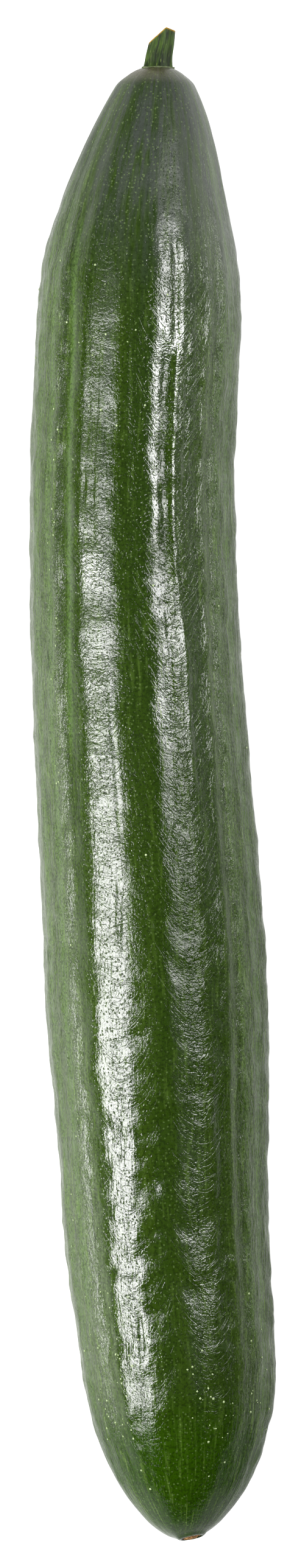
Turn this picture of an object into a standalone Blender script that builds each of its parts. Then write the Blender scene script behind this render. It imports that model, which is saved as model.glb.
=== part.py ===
"""A long slicing cucumber, as picked and lying on a surface.

The fruit lies along Y with its stem end at +Y. It is one ribbed solid, slightly bowed, with a small
flat spot where it rests. The cut stub of its stem stands on one end, and the corky scar that the
flower left sits in a shallow socket at the other. Lengths are in metres.
"""

import math

import bmesh
import bpy
from mathutils import Matrix, Vector

MM = 0.001

# The fruit's outline, turned about its middle line: (place along Y, radius), in millimetres.
STEM_SEAT_Y = 156.2
STEM_SEAT_RADIUS = 3.5
BLOSSOM_TIP_Y = -165.1
GIRTH_MM = (
    (STEM_SEAT_Y, STEM_SEAT_RADIUS),
    (155.1, 5.7),
    (152.4, 8.7),
    (141.0, 13.8),
    (125.0, 18.8),
    (112.0, 21.7),
    (98.0, 22.4),
    (73.0, 22.4),
    (45.0, 22.8),
    (5.0, 23.5),
    (-48.0, 24.35),
    (-80.0, 23.1),
    (-122.0, 21.65),
    (-139.0, 19.6),
    (-152.0, 14.8),
    (-160.5, 8.6),
    (-164.2, 3.8),
)
SAMPLES_PER_SPAN = 3

# The middle line: its sideways bow and its height above the surface, in millimetres.
BOW_MM = (
    (156.2, 1.0),
    (146.0, 0.2),
    (125.0, -2.0),
    (100.0, -2.9),
    (62.0, -4.3),
    (21.0, -3.0),
    (-26.0, 0.0),
    (-66.0, 1.9),
    (-98.0, 3.2),
    (-130.0, 5.9),
    (-150.0, 6.8),
    (-165.1, 7.0),
)
HEIGHT_MM = (
    (156.2, 24.6),
    (110.0, 22.7),
    (53.0, 22.3),
    (5.0, 22.7),
    (-50.0, 23.6),
    (-80.0, 22.8),
    (-122.0, 22.4),
    (-165.1, 24.4),
)

# The cross-section: three soft lobes, one for each seed chamber, and soft ribs parted by grooves.
SIDES = 80
LOBES = 3
LOBE_SHARE = 0.015
# Each groove: (degrees from the top towards +X in the stem half, the same in the flower half,
# depth in millimetres). It swings from one to the other over the stretch GROOVE_TURN_Y.
GROOVES = (
    (-154, -154, 0.35),
    (-130, -130, 0.3),
    (-107, -107, 0.3),
    (-84, -86, 0.3),
    (-62, -66, 0.3),
    (-41, -46, 0.36),
    (-21, -24.5, 0.28),
    (-3, -6, 0.14),
    (18, 17, 0.26),
    (36, 34, 0.3),
    (52, 48, 0.34),
    (71, 69, 0.28),
    (96, 96, 0.32),
    (121, 121, 0.32),
    (147, 147, 0.35),
)
GROOVE_TURN_Y = (60 * MM, -70 * MM)
GROOVE_SPREAD = 5
RIB_FADE = 24 * MM

# The oblique cut stub of the stem.
STEM_PATH_MM = ((1.1, 156.5, 24.6), (1.35, 159.0, 24.8), (1.9, 162.0, 25.1), (2.5, 167.0, 25.6))
STEM_RADII_MM = (3.05, 2.82, 2.68, 2.5)
STEM_BASE_REACH = 0.8 * MM
STEM_ANGLES = 5
STEM_POINTS_PER_ANGLE = 5
STEM_RIDGE_SHARE = 0.09
STEM_CUT_POINT_MM = (1.4, 163.15, 25.1)
STEM_CUT_FACING = (-0.63, 0.77, -0.12)
STEM_NICK_POINT_MM = (4.2, 164.75, 25.3)
STEM_NICK_FACING = (0.35, 0.93, 0.05)
STEM_CUT_BLOCK = 14 * MM

# The corky scar, and the socket that it sits in.
SCAR_PLACE_MM = (8.6, -164.4, 26.2)
SCAR_FACING = (0.22, -0.95, 0.24)
SCAR_RADIUS = 1.9 * MM
SCAR_THICKNESS = 1.0 * MM
SCAR_ROUNDING = 0.35 * MM
SCAR_PROUD = 0.25 * MM
SOCKET_GAP = 0.3 * MM
SCAR_SIDES = 28

COLLECTION = "cucumber"
CUTTERS = "cutters"


def clear_scene():
    """Removes every object of the starting scene."""
    for old in list(bpy.data.objects):
        bpy.data.objects.remove(old)


def collection(name):
    """A collection of this name in the scene."""
    made = bpy.data.collections.new(name)
    bpy.context.scene.collection.children.link(made)
    return made


def smooth(stations, at):
    """The value at a place along Y, on a smooth curve through (place, value) stations."""
    places = [place for place, _ in stations]
    values = [value for _, value in stations]
    last = len(stations) - 1

    def slope(i):
        before, after = max(i - 1, 0), min(i + 1, last)
        return (values[after] - values[before]) / (places[after] - places[before])

    span = next((i for i in range(last) if at >= places[i + 1]), last - 1)
    width = places[span + 1] - places[span]
    t = min(max((at - places[span]) / width, 0.0), 1.0)
    start, end = slope(span) * width, slope(span + 1) * width
    rise = values[span + 1] - values[span]
    cubic = start + end - 2 * rise
    square = 3 * rise - 2 * start - end
    return values[span] + t * (start + t * (square + t * cubic))


def middle(y):
    """The point of the fruit's middle line at a place along Y."""
    return Vector((smooth(BOW_MM, y / MM) * MM, y, smooth(HEIGHT_MM, y / MM) * MM))


def material(name, colour, roughness):
    """A plain finish for one part of the plant."""
    made = bpy.data.materials.new(name)
    made.use_nodes = True
    shader = made.node_tree.nodes["Principled BSDF"]
    shader.inputs["Base Color"].default_value = (*colour, 1.0)
    shader.inputs["Roughness"].default_value = roughness
    shader.inputs["Metallic"].default_value = 0.0
    made.diffuse_color = (*colour, 1.0)
    return made


def as_mesh_object(source, name, into):
    """Replaces a curve, or an object with modifiers, by the welded mesh that it makes."""
    graph = bpy.context.evaluated_depsgraph_get()
    mesh = bpy.data.meshes.new_from_object(source.evaluated_get(graph))
    work = bmesh.new()
    work.from_mesh(mesh)
    bmesh.ops.remove_doubles(work, verts=work.verts, dist=0.00001)
    bmesh.ops.recalc_face_normals(work, faces=work.faces)
    work.to_mesh(mesh)
    work.free()
    made = bpy.data.objects.new(name, mesh)
    made.matrix_world = source.matrix_world
    into.objects.link(made)
    bpy.data.objects.remove(source)
    return made


def turned_outline(into):
    """The plain fruit: its outline as a curve, turned about the Z axis, stem end up."""
    curve = bpy.data.curves.new("fruit_outline", "CURVE")
    curve.dimensions = "3D"
    curve.resolution_u = SAMPLES_PER_SPAN
    spline = curve.splines.new("BEZIER")
    spline.bezier_points.add(len(GIRTH_MM) - 1)
    for point, (place, radius) in zip(spline.bezier_points, GIRTH_MM):
        point.co = Vector((radius * MM, 0.0, place * MM))
        point.handle_left_type = point.handle_right_type = "AUTO"
    ends = curve.splines.new("POLY")
    ends.points.add(1)
    ends.points[0].co = (0.0, 0.0, STEM_SEAT_Y * MM, 1.0)
    ends.points[1].co = (STEM_SEAT_RADIUS * MM, 0.0, STEM_SEAT_Y * MM, 1.0)
    tip = curve.splines.new("BEZIER")
    tip.bezier_points.add(1)
    shoulder_y, shoulder_radius = GIRTH_MM[-1]
    tip.bezier_points[0].co = Vector((shoulder_radius * MM, 0.0, shoulder_y * MM))
    tip.bezier_points[1].co = Vector((0.0, 0.0, BLOSSOM_TIP_Y * MM))
    reach = shoulder_radius * MM / 3
    tip.bezier_points[0].handle_right = tip.bezier_points[0].co + Vector((-reach, 0.0, -reach / 2))
    tip.bezier_points[1].handle_left = tip.bezier_points[1].co + Vector((reach, 0.0, 0.0))
    turned = bpy.data.objects.new("fruit_turned", curve)
    into.objects.link(turned)
    screw = turned.modifiers.new("turn", "SCREW")
    screw.steps = screw.render_steps = SIDES
    screw.use_merge_vertices = True
    screw.merge_threshold = 0.00001
    bpy.context.view_layer.update()
    return turned


def dip(across, upright, y):
    """How deep the grooves between the ribs are at this point round the fruit."""
    angle = math.degrees(math.atan2(across, upright))
    start, end = GROOVE_TURN_Y
    share = min(max((y - start) / (end - start), 0.0), 1.0)
    share = share * share * (3 - 2 * share)
    depth = 0.0
    for stem_half, flower_half, deepest in GROOVES:
        place = stem_half + (flower_half - stem_half) * share
        away = (angle - place + 180) % 360 - 180
        depth += deepest * MM * math.exp(-0.5 * (away / GROOVE_SPREAD) ** 2)
    ends = min(STEM_SEAT_Y * MM - y, y - BLOSSOM_TIP_Y * MM)
    return depth * min(max(ends / RIB_FADE, 0.0), 1.0)


def lay_down(mesh):
    """Turns the upright fruit onto its side along its bow, and gives it lobes and ribs."""
    for vertex in mesh.vertices:
        across, upright, y = vertex.co.x, vertex.co.y, vertex.co.z
        radius = math.hypot(across, upright)
        angle = math.atan2(upright, across)
        lobe = 1.0 + LOBE_SHARE * math.cos(LOBES * (angle - math.pi / 2))
        radius = radius * lobe - dip(across, upright, y)
        out = Vector((math.cos(angle), 0.0, math.sin(angle))) * max(radius, 0.0)
        vertex.co = middle(y) + out


def cut(target, cutter):
    """Takes the cutter's shape out of the target."""
    modifier = target.modifiers.new("cut_" + cutter.name, "BOOLEAN")
    modifier.operation = "DIFFERENCE"
    modifier.object = cutter
    cutter.hide_render = True
    cutter.display_type = "WIRE"


def primitive(name, into, build):
    """A new object from a bmesh primitive."""
    work = bmesh.new()
    build(work)
    mesh = bpy.data.meshes.new(name)
    work.to_mesh(mesh)
    work.free()
    made = bpy.data.objects.new(name, mesh)
    into.objects.link(made)
    return made


def disc(name, into, radius, thickness):
    """A short cylinder whose outer face lies at its own origin, facing +Z."""

    def build(work):
        bmesh.ops.create_cone(
            work,
            cap_ends=True,
            segments=SCAR_SIDES,
            radius1=radius,
            radius2=radius,
            depth=thickness,
            matrix=Matrix.Translation((0.0, 0.0, -thickness / 2)),
        )

    return primitive(name, into, build)


def facing(place, direction):
    """The placement that puts an object's +Z along a direction."""
    turn = Vector(direction).normalized().to_track_quat("Z", "Y")
    return Matrix.Translation(place) @ turn.to_matrix().to_4x4()


def scar_place(proud):
    """The placement of a disc at the scar, its face this far proud of the skin."""
    out = Vector(SCAR_FACING).normalized()
    return facing(Vector(SCAR_PLACE_MM) * MM + out * proud, SCAR_FACING)


def make_fruit(parts, cutters):
    """The ribbed, bowed fruit with its flat resting spot and the scar's socket."""
    fruit = as_mesh_object(turned_outline(parts), "fruit", parts)
    lay_down(fruit.data)
    surface = primitive(
        "surface_cutter",
        cutters,
        lambda work: bmesh.ops.create_cube(work, size=1.0),
    )
    surface.scale = (0.2, 0.5, 0.02)
    surface.location = (0.0, 0.0, -0.01)
    cut(fruit, surface)
    depth = SCAR_THICKNESS + SOCKET_GAP
    socket = disc("socket_cutter", cutters, SCAR_RADIUS + SOCKET_GAP, depth + 0.002)
    socket.matrix_world = scar_place(0.002)
    cut(fruit, socket)
    fruit.data.materials.append(material("cucumber_skin", (0.045, 0.085, 0.018), 0.3))
    fruit.data.shade_smooth()
    fruit.data.set_sharp_from_angle(angle=math.radians(40))
    return fruit


def stem_section(into):
    """The stem's five-angled outline, one unit across its radius, as a closed flat curve."""
    curve = bpy.data.curves.new("stem_section", "CURVE")
    count = STEM_ANGLES * STEM_POINTS_PER_ANGLE
    spline = curve.splines.new("POLY")
    spline.points.add(count - 1)
    spline.use_cyclic_u = True
    for i, point in enumerate(spline.points):
        angle = 2 * math.pi * i / count
        radius = 1.0 + STEM_RIDGE_SHARE * math.cos(STEM_ANGLES * angle)
        point.co = (radius * math.cos(angle), radius * math.sin(angle), 0.0, 1.0)
    section = bpy.data.objects.new("stem_section", curve)
    section.hide_render = True
    into.objects.link(section)
    return section


def block_beyond(name, into, place_mm, direction):
    """A block that fills the space beyond a plane, which it meets at this place."""

    def build(work):
        middle_of_block = Matrix.Translation((0.0, 0.0, STEM_CUT_BLOCK / 2))
        bmesh.ops.create_cube(work, size=STEM_CUT_BLOCK, matrix=middle_of_block)

    block = primitive(name, into, build)
    block.matrix_world = facing(Vector(place_mm) * MM, direction)
    return block


def make_stem(parts, cutters):
    """The stub of the stem, swept along its path and cut off obliquely."""
    curve = bpy.data.curves.new("stem_path", "CURVE")
    curve.dimensions = "3D"
    curve.resolution_u = 4
    curve.bevel_mode = "OBJECT"
    curve.bevel_object = stem_section(cutters)
    curve.use_fill_caps = True
    spline = curve.splines.new("BEZIER")
    spline.bezier_points.add(len(STEM_PATH_MM) - 1)
    for point, place, radius in zip(spline.bezier_points, STEM_PATH_MM, STEM_RADII_MM):
        point.co = Vector(place) * MM
        point.radius = radius * MM
        point.handle_left_type = point.handle_right_type = "AUTO"
    base = spline.bezier_points[0]
    base.handle_left_type = base.handle_right_type = "FREE"
    base.handle_left = base.co - Vector((0.0, STEM_BASE_REACH, 0.0))
    base.handle_right = base.co + Vector((0.0, STEM_BASE_REACH, 0.0))
    swept = bpy.data.objects.new("stem_swept", curve)
    parts.objects.link(swept)
    bpy.context.view_layer.update()
    stem = as_mesh_object(swept, "stem", parts)
    cut(stem, block_beyond("stem_cutter", cutters, STEM_CUT_POINT_MM, STEM_CUT_FACING))
    cut(stem, block_beyond("nick_cutter", cutters, STEM_NICK_POINT_MM, STEM_NICK_FACING))
    stem.data.materials.append(material("green_stem", (0.075, 0.13, 0.04), 0.55))
    return stem


def make_scar(parts):
    """The corky scar of the fallen flower."""
    scar = disc("blossom_scar", parts, SCAR_RADIUS, SCAR_THICKNESS)
    scar.matrix_world = scar_place(SCAR_PROUD)
    rounding = scar.modifiers.new("rounding", "BEVEL")
    rounding.width = SCAR_ROUNDING
    rounding.segments = 2
    rounding.limit_method = "ANGLE"
    scar.data.materials.append(material("dry_scar", (0.35, 0.19, 0.07), 0.85))
    return scar


def main():
    """Builds the cucumber."""
    clear_scene()
    parts = collection(COLLECTION)
    cutters = collection(CUTTERS)
    make_fruit(parts, cutters)
    make_stem(parts, cutters)
    make_scar(parts)


main()
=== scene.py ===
"""The looks of a long slicing cucumber that lies on a pale surface and is seen from straight above.

The fruit lies along Y with its stem end at +Y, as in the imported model. Its skin is a fine grid shaped by
the same outline, bow and ribs as the solid, with creases, dents, wrinkles and warts added. The stem, the
ring at its foot and the corky flower scar are pieces of their own.

Shapes and patterns are given in millimetres, which become metres when a piece or a node is made. The
studio is in metres. Angles round the fruit are degrees from its top, towards +X.
"""

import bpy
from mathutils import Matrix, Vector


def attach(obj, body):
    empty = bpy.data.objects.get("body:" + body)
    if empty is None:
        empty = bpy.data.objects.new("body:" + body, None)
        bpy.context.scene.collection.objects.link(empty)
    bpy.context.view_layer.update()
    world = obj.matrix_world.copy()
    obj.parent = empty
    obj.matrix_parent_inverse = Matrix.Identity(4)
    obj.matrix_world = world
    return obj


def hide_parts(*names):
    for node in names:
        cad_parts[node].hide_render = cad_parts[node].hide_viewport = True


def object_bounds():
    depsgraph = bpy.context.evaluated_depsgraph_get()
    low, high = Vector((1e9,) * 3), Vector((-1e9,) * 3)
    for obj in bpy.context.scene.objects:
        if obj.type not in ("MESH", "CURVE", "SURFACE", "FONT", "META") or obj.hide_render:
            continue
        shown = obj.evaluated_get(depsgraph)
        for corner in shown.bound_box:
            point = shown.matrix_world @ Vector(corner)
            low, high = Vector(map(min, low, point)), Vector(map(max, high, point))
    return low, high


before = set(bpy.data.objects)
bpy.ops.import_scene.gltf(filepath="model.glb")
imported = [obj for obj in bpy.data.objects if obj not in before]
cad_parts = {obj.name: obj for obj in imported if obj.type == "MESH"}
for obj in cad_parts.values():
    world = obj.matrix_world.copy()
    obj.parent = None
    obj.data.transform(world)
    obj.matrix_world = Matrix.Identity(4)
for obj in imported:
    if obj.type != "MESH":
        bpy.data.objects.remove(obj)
cad_box = [list(corner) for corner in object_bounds()]

import logging
import math
from dataclasses import dataclass
from enum import Enum
from typing import Any

import bmesh
import bpy
import numpy as np
from mathutils import Vector, noise

MM = 0.001
log = logging.getLogger("cucumber")

Array = np.ndarray
Socket = bpy.types.NodeSocket
Material = bpy.types.Material
Piece = bpy.types.Object
Inputs = dict[Any, Any]
Faces = list[tuple[int, ...]]
Triple = tuple[float, float, float]
Stations = tuple[tuple[float, float], ...]

SOCKET_KINDS = {float: "NodeSocketFloat", int: "NodeSocketInt", Material: "NodeSocketMaterial"}

# The middles of the two lobes of the upper side, which carry the strips of light, in degrees from the top.
LEFT_LOBE = -22.0
RIGHT_LOBE = 18.0

# The edge of the upper side on the left, where the painted light on the left flank begins and a band of
# painted shade lies just inside: (place along Y in millimetres, degrees from the top).
LEFT_EDGE = ((-121, 38), (-28, 44.5), (12, 47), (30, 49.7))

# Where the strip of light on the left lobe is brighter or duller: (place along Y in millimetres, share).
LEFT_GLINTS = ((58.0, 0.35), (46.5, 0.5), (38.0, -0.3))

# The flower scar's middle in millimetres, and the direction that it faces.
SCAR_CENTRE = (8.6, -164.4, 26.2)
SCAR_FACING = (0.22, -0.95, 0.24)


class Slot(Enum):
    """The record's material slots."""

    SKIN = "skin"
    STEM = "stem"
    SCAR = "scar"


def linear(code: str) -> tuple[float, float, float, float]:
    """Turns a display colour into the linear one that a shader takes.

    Args:
        code: Six hexadecimal digits, red first.

    Returns:
        The linear red, green, blue and an alpha of one.
    """
    shares = [int(code[i : i + 2], 16) / 255 for i in (0, 2, 4)]
    flat = [s / 12.92 if s <= 0.04045 else ((s + 0.055) / 1.055) ** 2.4 for s in shares]
    return (*flat, 1.0)


def smooth(stations: Stations, at: Array) -> Array:
    """Reads a smooth curve through stations.

    Args:
        stations: (place, value) pairs in either order along the curve.
        at: The places to read it at.

    Returns:
        The value at each place, held steady beyond the ends.
    """
    places, values = np.array(sorted(stations), dtype=float).T
    slopes = np.empty_like(values)
    slopes[1:-1] = (values[2:] - values[:-2]) / (places[2:] - places[:-2])
    slopes[0] = (values[1] - values[0]) / (places[1] - places[0])
    slopes[-1] = (values[-1] - values[-2]) / (places[-1] - places[-2])
    at = np.clip(at, places[0], places[-1])
    span = np.clip(np.searchsorted(places, at) - 1, 0, len(places) - 2)
    width = places[span + 1] - places[span]
    t = (at - places[span]) / width
    start, end = slopes[span] * width, slopes[span + 1] * width
    rise = values[span + 1] - values[span]
    return values[span] + t * (start + t * (3 * rise - 2 * start - end + t * (start + end - 2 * rise)))


def step(low: float, high: float, value: Array) -> Array:
    """Rises softly from 0 where the value is low to 1 where it is high. High may be less than low."""
    t = np.clip((value - low) / (high - low), 0.0, 1.0)
    return t * t * (3 - 2 * t)


def bell(value: Array, centre: float, width: float) -> Array:
    """A soft peak: 1 where the value is the centre, and little beyond twice the width from it."""
    return np.exp(-0.5 * ((value - centre) / width) ** 2)


def turned(angle: Array, centre: Any) -> Array:
    """Degrees from a centre angle, from -180 to 180."""
    return (angle - centre + 180) % 360 - 180


def unit(direction: Triple) -> Array:
    """A direction at length one."""
    return np.array(direction) / np.linalg.norm(direction)


class Graph:
    """A node tree that is being built. Its methods take plain values and output sockets alike."""

    def __init__(self, tree: bpy.types.NodeTree) -> None:
        """Starts on an empty or fresh tree."""
        self.tree = tree

    def fill(self, node: bpy.types.Node, inputs: Inputs) -> None:
        """Gives a node its inputs.

        Args:
            node: The node.
            inputs: A value or an output socket for each input, by name or number.
        """
        for key, value in inputs.items():
            if isinstance(value, Socket):
                self.tree.links.new(value, node.inputs[key])
            else:
                node.inputs[key].default_value = value

    def add(self, kind: str, inputs: Inputs | None = None, **settings: Any) -> bpy.types.Node:
        """Adds one node.

        Args:
            kind: The node's type name.
            inputs: Its inputs, as in fill.
            **settings: Its own settings.

        Returns:
            The new node.
        """
        made = self.tree.nodes.new(kind)
        for name, value in settings.items():
            setattr(made, name, value)
        self.fill(made, inputs or {})
        return made

    def out(self, kind: str, inputs: Inputs, **settings: Any) -> Socket:
        """Adds one node and returns its first output."""
        return self.add(kind, inputs, **settings).outputs[0]

    def math(self, operation: str, first: Any, second: Any = 0.0) -> Socket:
        """Joins two numbers."""
        return self.out("ShaderNodeMath", {0: first, 1: second}, operation=operation)

    def times(self, first: Any, second: Any) -> Socket:
        """Multiplies two numbers."""
        return self.math("MULTIPLY", first, second)

    def vector(self, operation: str, first: Any, second: Any) -> Socket:
        """Joins two vectors."""
        return self.out("ShaderNodeVectorMath", {0: first, 1: second}, operation=operation)

    def stretch(self, place: Socket, around: float, along: float) -> Socket:
        """Scales a place so that a unit stands for the given millimetres across and along the piece."""
        return self.vector("MULTIPLY", place, tuple(1 / (size * MM) for size in (around, around, along)))

    def noise(
        self, place: Socket, around: float, along: float, detail: float = 2.0, rough: float = 0.5
    ) -> Socket:
        """A soft random pattern of about 0 to 1.

        Args:
            place: The place.
            around: How wide its blobs are in millimetres.
            along: How long they are in millimetres.
            detail: How many finer layers it has.
            rough: How strong those are.

        Returns:
            The pattern.
        """
        scaled = self.stretch(place, around, along)
        values = {"Vector": scaled, "Scale": 1.0, "Detail": detail, "Roughness": rough}
        return self.out("ShaderNodeTexNoise", values)

    def cells(self, place: Socket, around: float, along: float) -> Socket:
        """How far each place is from the nearest of many points, set about the given millimetres apart."""
        values = {"Vector": self.stretch(place, around, along), "Scale": 1.0}
        return self.add("ShaderNodeTexVoronoi", values).outputs["Distance"]

    def rise(self, value: Any, low: float, high: float, start: float = 0.0, end: float = 1.0) -> Socket:
        """Turns a value into one that goes softly from start, where it is low, to end, where it is high."""
        values = {"Value": value, "From Min": low, "From Max": high, "To Min": start, "To Max": end}
        return self.out("ShaderNodeMapRange", values, interpolation_type="SMOOTHSTEP")

    def blend(self, share: Any, first: Any, second: Any) -> Socket:
        """Mixes two colours by the share of the second."""
        return self.add("ShaderNodeMix", {0: share, 6: first, 7: second}, data_type="RGBA").outputs[2]

    def attribute(self, name: str, output: str = "Fac") -> Socket:
        """Reads a value that a piece's mesh carries: Fac gives a number, Vector a place."""
        return self.add("ShaderNodeAttribute", attribute_name=name).outputs[output]

    def local(self) -> Socket:
        """The place in the piece's own frame."""
        return self.add("ShaderNodeTexCoord").outputs["Object"]

    def bump(
        self, height: Socket, depth: float, strength: float = 1.0, under: Socket | None = None
    ) -> Socket:
        """Tilts the surface by a pattern of a depth in millimetres, over what another bump has made of it."""
        inputs = {"Height": height, "Distance": depth * MM, "Strength": strength}
        return self.out("ShaderNodeBump", inputs | {"Normal": under} if under else inputs)


class Surface(Graph):
    """A material that is being built."""

    def __init__(self, name: str) -> None:
        """Starts a material.

        Args:
            name: What the surface is.
        """
        self.material = bpy.data.materials.new(name)
        self.material.use_nodes = True
        super().__init__(self.material.node_tree)

    def finish(self, inputs: Inputs) -> Material:
        """Gives the shader its inputs and returns the material."""
        self.fill(self.tree.nodes["Principled BSDF"], inputs)
        return self.material


def plain_material(name: str, colour: str, roughness: float, others: Inputs | None = None) -> Material:
    """A material of one colour, with any other inputs of its shader by name."""
    return Surface(name).finish({"Base Color": linear(colour), "Roughness": roughness} | (others or {}))


@dataclass(frozen=True)
class SkinFinish:
    """Waxy cucumber skin: deep green with paler streaks, glossy with a fine grain, dull at the neck."""

    deep: str = "1e3005"
    mid: str = "263808"
    pale: str = "536b2b"
    flank: str = "354a10"
    stripe: str = "5c7a3c"
    bloom: str = "363b36"
    collar: str = "6e6547"
    speck: str = "6f8450"
    painted_light: str = "475634"
    tip: str = "1f3b00"
    grain_colour: str = "0c1503"
    roughness: float = 0.12
    dull_roughness: float = 0.44
    index: float = 1.52
    grain_size: float = 0.6
    grain_depth: float = 0.05
    pit_size: tuple[float, float] = (0.62, 0.95)
    pit_depth: float = 0.13
    crease_size: tuple[float, float] = (4.2, 1.9)
    crease_depth: float = 0.09
    crumple_size: tuple[float, float] = (1.7, 1.15)
    crumple_depth: float = 0.34
    leather_depth: float = 0.6
    sliver_depth: float = 0.08
    lobe_distance: float = 7.4
    wrinkle_sag: float = 0.16

    def colour(self, graph: Graph, place: Socket) -> Socket:
        """Lays streaks, stripes, bloom and specks over the deep green, with painted light and painted shade
        on the flanks.

        Args:
            graph: The material's graph.
            place: The place on the unrolled skin.

        Returns:
            The base colour.
        """
        streaky, bloom = graph.attribute("streaky"), graph.attribute("bloom")
        leather = graph.rise(graph.noise(place, 1.5, 5, 3, 0.6), 0.38, 0.58, 0.15, 1.0)
        lines = graph.times(graph.rise(graph.noise(place, 0.5, 6, 3), 0.44, 0.36), streaky)
        haze = graph.rise(graph.noise(place, 1.7, 14, 4, 0.65), 0.36, 0.62, 0.1, 1.0)
        local = graph.local()
        pores = graph.rise(graph.cells(local, 0.9, 0.9), 0.27, 0.16)
        spots = graph.rise(graph.noise(local, 0.6, 0.6, 2, 0.7), 0.54, 0.38)
        layers = (
            # Long soft bands, each a few millimetres wide, part the skin into darker and lighter green.
            (graph.rise(graph.noise(place, 5.5, 130), 0.4, 0.66), self.mid),
            # The flanks are paler than the top: partly their own colour, partly painted light, most on the
            # left flank, which faces the brightest lamp, with a band of painted shade just inside its edge.
            (graph.attribute("flank"), self.flank),
            # Painted light: the side towards the lamp, and a band far round on the right, get a pale
            # grey-green that stands in for the lamp's light and the pale floor's reflection, in soft leathery
            # patches.
            (graph.times(graph.attribute("painted_lamp_light"), leather), self.painted_light),
            # The flower end is a clear fresh green.
            (graph.attribute("tip"), self.tip),
            # Thin dark lines run between the pale streaks.
            (graph.times(lines, 0.85), self.deep),
            # Fine pale streaks run lengthwise, strongest on the flanks and where they meet at the flower end.
            (graph.times(graph.rise(graph.noise(place, 0.75, 8, 3), 0.5, 0.78), streaky), self.pale),
            (graph.attribute("stripe"), self.stripe),
            # The neck wears a thin grey wax.
            (graph.times(bloom, haze), self.bloom),
            # It turns tan round the foot of the stem.
            (graph.attribute("collar"), self.collar),
            # Tiny pale pores dot it all over.
            (graph.times(pores, graph.math("ADD", graph.times(bloom, 0.1), 0.25)), self.speck),
            # A grain of darker green keeps it from looking painted.
            (graph.times(spots, graph.rise(bloom, 0.0, 0.8, 0.5, 0.25)), self.grain_colour),
        )
        colour: Any = linear(self.deep)
        for share, code in layers:
            colour = graph.blend(share, colour, linear(code))
        return colour

    def relief(self, graph: Graph, place: Socket) -> Socket:
        """Bumps too fine for the mesh: grain and pits all over, and narrow cross creases in patches.

        Args:
            graph: The material's graph.
            place: The place on the unrolled skin.

        Returns:
            The bumped normal.
        """
        hollows = graph.rise(graph.cells(place, *self.pit_size), 0.05, 0.3)
        bent = graph.stretch(self.bent(graph, place), *self.crease_size)
        values = {"Vector": bent, "Scale": 1.0, "Detail": 2.5, "Distortion": 0.7}
        fold = graph.out("ShaderNodeTexNoise", values)
        # The pattern's middle value draws the narrow valleys between flat facets.
        valley = graph.rise(graph.math("ABSOLUTE", graph.math("SUBTRACT", fold, 0.5)), 0.0, 0.05)
        patch = graph.rise(graph.noise(place, 7, 24, 1), 0.35, 0.65, 0.35, 1.0)
        strength = graph.times(patch, graph.attribute("wrinkle"))
        leather = graph.noise(place, 1.5, 5, 4, 0.72)
        slivers = graph.noise(place, 0.5, 4.5)
        steps = (
            (graph.times(leather, graph.attribute("ribby")), self.leather_depth),
            (graph.times(slivers, graph.attribute("slivery")), self.sliver_depth),
            (graph.times(graph.noise(place, *self.crumple_size, 3, 0.75), strength), self.crumple_depth),
            (graph.times(valley, strength), self.crease_depth),
            (graph.times(hollows, graph.attribute("pitted")), self.pit_depth),
            (graph.noise(graph.local(), self.grain_size, self.grain_size, 2, 0.6), self.grain_depth),
        )
        normal: Socket | None = None
        for height, depth in steps:
            normal = graph.bump(height, depth, under=normal)
        return normal

    def bent(self, graph: Graph, place: Socket) -> Socket:
        """Bends the unrolled skin so that wrinkles across a lobe sag in its middle like a smile.

        Args:
            graph: The material's graph.
            place: The place on the unrolled skin.

        Returns:
            The bent place.
        """
        x, y, z = graph.add("ShaderNodeSeparateXYZ", {0: place}).outputs
        away = graph.math("SUBTRACT", graph.math("ABSOLUTE", x), self.lobe_distance * MM)
        sag = graph.times(graph.times(away, away), self.wrinkle_sag / MM)
        return graph.out("ShaderNodeCombineXYZ", {0: x, 1: y, 2: graph.math("SUBTRACT", z, sag)})

    def make(self) -> Material:
        """Builds the material.

        Returns:
            The skin's material.
        """
        surface = Surface("cucumber skin")
        place = surface.attribute("skin_place", "Vector")
        # The wax ends in ragged streaks, not in a line.
        ragged = surface.rise(surface.noise(place, 1.1, 7, 4, 0.7), 0.32, 0.68, 0.35, 1.65)
        waxy = surface.times(surface.attribute("dullness"), ragged)
        inputs = {
            "Base Color": self.colour(surface, place),
            "Roughness": surface.rise(waxy, 0.0, 1.0, self.roughness, self.dull_roughness),
            "Normal": self.relief(surface, place),
            # The wax is thinner at the flower end and low on the right, so less of the room shows there.
            "Specular IOR Level": surface.attribute("sheen"),
            "IOR": self.index,
        }
        return surface.finish(inputs)


@dataclass(frozen=True)
class StemFinish:
    """A dull green stem with pale fibres, a dry yellow-brown rim and a pale pith."""

    dark: str = "0f1c02"
    light: str = "33490f"
    fibre: str = "6d7c40"
    rim: str = "b98a1e"
    pith: str = "877c3e"
    roughness: float = 0.5
    gloss: float = 0.2
    fibre_depth: float = 0.05

    def make(self) -> Material:
        """Builds the material.

        Returns:
            The stem's material.
        """
        surface = Surface("green stem")
        place = surface.attribute("stem_place", "Vector")
        broad = surface.rise(surface.noise(place, 0.9, 4, 3), 0.35, 0.7)
        fine = surface.noise(place, 0.22, 1.6, 3)
        colour = surface.blend(broad, linear(self.dark), linear(self.light))
        # Short pale fibres catch the light along the ridges.
        colour = surface.blend(surface.rise(fine, 0.6, 0.74, 0.0, 0.8), colour, linear(self.fibre))
        colour = surface.blend(surface.attribute("pith"), colour, linear(self.pith))
        inputs = {
            "Base Color": surface.blend(surface.attribute("rim"), colour, linear(self.rim)),
            "Roughness": self.roughness,
            "Specular IOR Level": self.gloss,
            "Normal": surface.bump(fine, self.fibre_depth, 0.8),
        }
        return surface.finish(inputs)


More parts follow.
